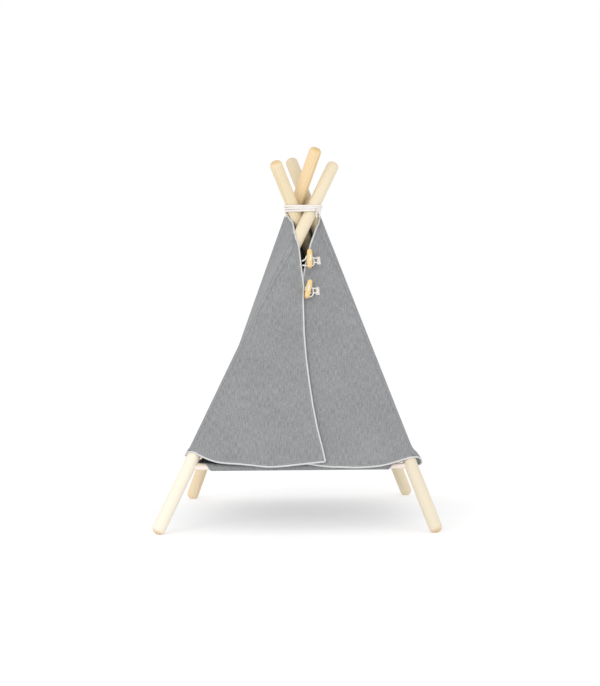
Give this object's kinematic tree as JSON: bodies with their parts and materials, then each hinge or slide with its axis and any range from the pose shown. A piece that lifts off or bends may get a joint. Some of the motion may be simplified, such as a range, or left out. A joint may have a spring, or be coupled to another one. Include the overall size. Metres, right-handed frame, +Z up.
{
  "type": "teepee tent",
  "caption": "Raised pet teepee: crossed wooden poles lashed near the top, a canvas cover with toggled front flaps, and a cloth bed slung between crossbars.",
  "frame": {"origin": "on the floor, under the middle of the frame's box", "axes": "+X right, +Y to the rear (the flaps are at the front, -Y), +Z up"},
  "size_m": [0.539, 0.5379, 0.7401],
  "materials": {
    "pole_wood": "sanded, unfinished pale pine",
    "bar_wood": "sanded, unfinished pale dowel",
    "cover_canvas": "matt heathered grey cotton canvas",
    "bed_canvas": "matt heathered grey cotton canvas",
    "piping": "matt light grey bias binding",
    "lashing_cord": "soft off-white cotton cord",
    "toggle_cord": "off-white waxed cotton cord",
    "toggle_wood": "smooth varnished light wood"
  },
  "bodies": {
    "frame": {"front_left_pole": "pole_wood", "front_right_pole": "pole_wood", "rear_right_pole": "pole_wood", "rear_left_pole": "pole_wood", "front_crossbar": "bar_wood", "rear_crossbar": "bar_wood", "bed": "bed_canvas", "front_bed_sleeve": "bed_canvas", "rear_bed_sleeve": "bed_canvas", "left_side_panel": "cover_canvas", "right_side_panel": "cover_canvas", "rear_panel": "cover_canvas", "left_flap_wrap": "cover_canvas", "right_flap_wrap": "cover_canvas", "left_hem_piping": "piping", "right_hem_piping": "piping", "rear_hem_piping": "piping", "left_neck_piping": "piping", "right_neck_piping": "piping", "lashing_turns": "lashing_cord", "lashing_knot": "lashing_cord"},
    "left_flap": {"left_flap": "cover_canvas", "left_flap_piping": "piping", "upper_loop": "toggle_cord", "lower_loop": "toggle_cord"},
    "right_flap": {"right_flap": "cover_canvas", "right_flap_piping": "piping", "upper_toggle_cord": "toggle_cord", "upper_toggle_tab": "toggle_cord", "lower_toggle_cord": "toggle_cord", "lower_toggle_tab": "toggle_cord"},
    "upper_toggle": {"upper_toggle": "toggle_wood", "upper_toggle_bight": "toggle_cord"},
    "lower_toggle": {"lower_toggle": "toggle_wood", "lower_toggle_bight": "toggle_cord"}
  },
  "joints": [
    {"name": "left_flap_swing", "type": "hinge", "parent": "frame", "child": "left_flap", "pos_m": [-0.12044, -0.16263, 0.3], "axis": [-0.4097, -0.32, -0.8542], "range_deg": [0, 110], "deforming": ["upper_loop", "lower_loop"]},
    {"name": "right_flap_swing", "type": "hinge", "parent": "frame", "child": "right_flap", "pos_m": [0.15085, -0.14786, 0.3], "axis": [-0.3243, 0.3715, 0.87], "range_deg": [0, 77]},
    {"name": "upper_toggle_swivel", "type": "hinge", "parent": "right_flap", "child": "upper_toggle", "pos_m": [0.02777, -0.08401, 0.51569], "axis": [0.2551, -0.9043, 0.3422], "range_deg": [-25, 25]},
    {"name": "lower_toggle_swivel", "type": "hinge", "parent": "right_flap", "child": "lower_toggle", "pos_m": [0.02494, -0.10791, 0.45545], "axis": [0.1458, -0.9211, 0.361], "range_deg": [-25, 25]}
  ],
  "couplings": [
    {"joint": "right_flap_swing", "follows": "left_flap_swing", "ratio": 0.7}
  ]
}
